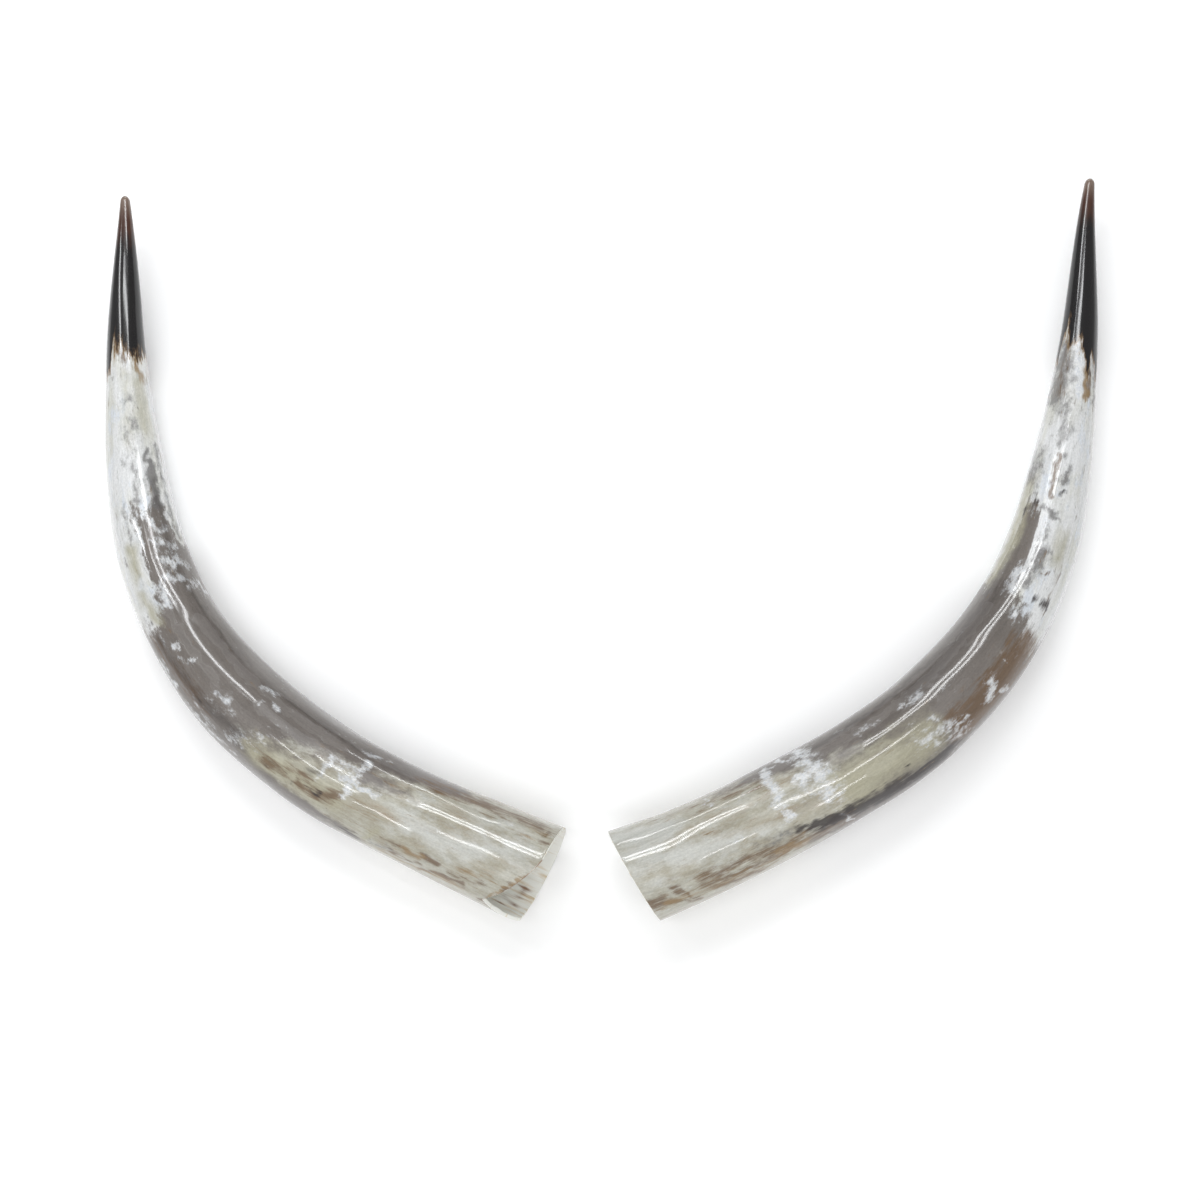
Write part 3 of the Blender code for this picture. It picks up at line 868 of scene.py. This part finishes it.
# The zones of colour, as (degrees round the horn, mm from the mouth): where the olive grey base
# ends, and where the white and the black start. The black turns to rust all round at one distance.
RIGHT_BASE_END = [(0, 105), (37, 115), (55, 185), (74, 200), (94, 262), (114, 265),
                  (125, 230), (135, 160), (270, 160)]
RIGHT_PALE_START = [(0, 448), (28, 448), (36, 538), (66, 534), (74, 440), (110, 438), (118, 408),
                    (150, 405), (180, 430), (270, 450)]
RIGHT_INK_START = [(0, 690), (20, 692), (30, 708), (40, 722), (50, 706), (62, 700), (75, 702),
                   (90, 708), (98, 694), (108, 676), (114, 668), (122, 690), (132, 690), (142, 672),
                   (180, 690), (270, 700), (340, 690)]
RIGHT_RUST_START = 824.0

right_shape = Horn(length=RIGHT_LENGTH, headings=RIGHT_HEADINGS, half_widths=RIGHT_HALF_WIDTHS,
                   tip_lift=RIGHT_TIP_LIFT, inner_side=RIGHT_INNER_SIDE, skew=RIGHT_SAW_SKEW,
                   forward=RIGHT_SAW_FORWARD, chip=NO_CHIP, mouth=RIGHT_MOUTH, seed=RIGHT_SEED)
right_piece = make_horn("polished_right_horn", right_shape, polished_skin("right_horn_polish"),
                        raw_hollow("right_horn_raw"), marks=RIGHT_MARKS, base_end=RIGHT_BASE_END,
                        pale_start=RIGHT_PALE_START, ink_start=RIGHT_INK_START,
                        rust_start=RIGHT_RUST_START)
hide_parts("right_horn")
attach(right_piece, "root")


# The floor. A plain pale surface under the pair, large enough to fill every view. It is stage, and
# no part of the object.
FLOOR_REACH = 12.0
FLOOR_PALE = colour(250, 250, 250)
FLOOR_MATT = 0.9
FLOOR_MIRROR = 0.1
FLOOR_GLOW = 0.08
WHITE = (1.0, 1.0, 1.0, 1.0)

floor_mesh = bpy.data.meshes.new("pale_floor")
floor_corners = [(-FLOOR_REACH, -FLOOR_REACH, 0.0), (FLOOR_REACH, -FLOOR_REACH, 0.0),
                 (FLOOR_REACH, FLOOR_REACH, 0.0), (-FLOOR_REACH, FLOOR_REACH, 0.0)]
floor_mesh.from_pydata(floor_corners, [], [(0, 1, 2, 3)])
floor_finish = Finish("pale_floor")
floor_finish.shader.inputs["Base Color"].default_value = FLOOR_PALE
floor_finish.shader.inputs["Roughness"].default_value = FLOOR_MATT
floor_finish.shader.inputs["Specular IOR Level"].default_value = FLOOR_MIRROR
floor_finish.shader.inputs["Emission Color"].default_value = WHITE
floor_finish.shader.inputs["Emission Strength"].default_value = FLOOR_GLOW
floor_mesh.materials.append(floor_finish.material)
floor = bpy.data.objects.new("pale_floor", floor_mesh)
bpy.context.scene.collection.objects.link(floor)


# The light. Rows of tube lamps hang in the work room: four behind the horns, of which one is turned
# askew beside the left tip, one overhead and one in front. The pale room adds a soft light, most of
# it from the front.
LAMP_WHITE = (0.97, 0.985, 1.0)
ROOM_LIGHT_IN_FRONT = 0.95
ROOM_LIGHT_BEHIND = 0.15


def facing(place, aim, top):
    """Where a lamp or camera stands and how it is turned. Its side is the cross product of the way
    ahead and the top, and its upper edge the cross product of the side and the way ahead."""
    ahead = np.array(aim) - np.array(place)
    ahead = ahead / np.linalg.norm(ahead)
    side = np.cross(ahead, top)
    side = side / np.linalg.norm(side)
    stand = np.eye(4)
    stand[:3, :3] = np.stack([side, np.cross(side, ahead), -ahead], axis=1)
    stand[:3, 3] = place
    return Matrix(stand.tolist())


def lamp(name, place, aim, size, watts):
    """A soft rectangular lamp that faces a point. Its long side lies level."""
    light = bpy.data.lights.new(name, "AREA")
    light.shape = "RECTANGLE"
    light.size, light.size_y = size
    light.energy = watts
    light.color = LAMP_WHITE
    piece = bpy.data.objects.new(name, light)
    piece.matrix_world = facing(place, aim, (0.0, 0.0, 1.0))
    piece.visible_camera = False
    bpy.context.scene.collection.objects.link(piece)


# Each row's place, the point that it faces, its length and width in metres, and its watts.
lamp("back_row", (-0.12, 1.15, 1.60), (-0.12, 0.0, 0.0), (1.30, 0.11), 7.5)
lamp("near_row", (-0.03, 0.84, 1.60), (-0.03, 0.0, 0.0), (0.94, 0.09), 4.4)
lamp("side_row", (-1.43, 0.92, 1.60), (-1.56, 0.66, 0.0), (1.16, 0.08), 5.0)
lamp("far_row", (-0.40, 4.40, 1.50), (-0.40, 0.0, 0.0), (3.60, 0.13), 24.0)
lamp("overhead_row", (-0.28, -0.15, 2.40), (-0.28, 0.3, 0.0), (2.20, 0.10), 9.5)
lamp("front_row", (0.0, -0.87, 1.60), (0.0, 0.0, 0.0), (2.30, 0.05), 7.0)

# The room is palest in front (-Y) and dims evenly towards the back.
room = bpy.data.worlds.new("pale_room")
room.use_nodes = True
room_nodes, room_links = room.node_tree.nodes, room.node_tree.links
way = room_nodes.new("ShaderNodeTexCoord")
parts = room_nodes.new("ShaderNodeSeparateXYZ")
dimming = room_nodes.new("ShaderNodeMapRange")
dimming.inputs["From Min"].default_value = -1.0
dimming.inputs["To Min"].default_value = ROOM_LIGHT_IN_FRONT
dimming.inputs["To Max"].default_value = ROOM_LIGHT_BEHIND
room_links.new(way.outputs["Generated"], parts.inputs[0])
room_links.new(parts.outputs["Y"], dimming.inputs["Value"])
room_links.new(dimming.outputs[0], room_nodes["Background"].inputs["Strength"])
room_nodes["Background"].inputs["Color"].default_value = WHITE
bpy.context.scene.world = room
bpy.context.scene.view_settings.view_transform = "Standard"


# The camera. It looks down on the pair from above the right horn's mouth, through a 45 mm lens.
# The picture's top points half a degree to the left of +Y.
CAMERA_PLACE = (0.1534, -0.3120, 1.4374)
CAMERA_AIM = (0.01065, -0.05377, 0.0)
PICTURE_TOP_HEADING = math.radians(90.471)
LENS_MM = 45.0
SENSOR_MM = 36.0

lens = bpy.data.cameras.new("overhead_camera")
lens.sensor_width = SENSOR_MM
lens.lens = LENS_MM
camera = bpy.data.objects.new("overhead_camera", lens)
picture_top = (math.cos(PICTURE_TOP_HEADING), math.sin(PICTURE_TOP_HEADING), 0.0)
camera.matrix_world = facing(CAMERA_PLACE, CAMERA_AIM, picture_top)
bpy.context.scene.collection.objects.link(camera)
bpy.context.scene.camera = camera
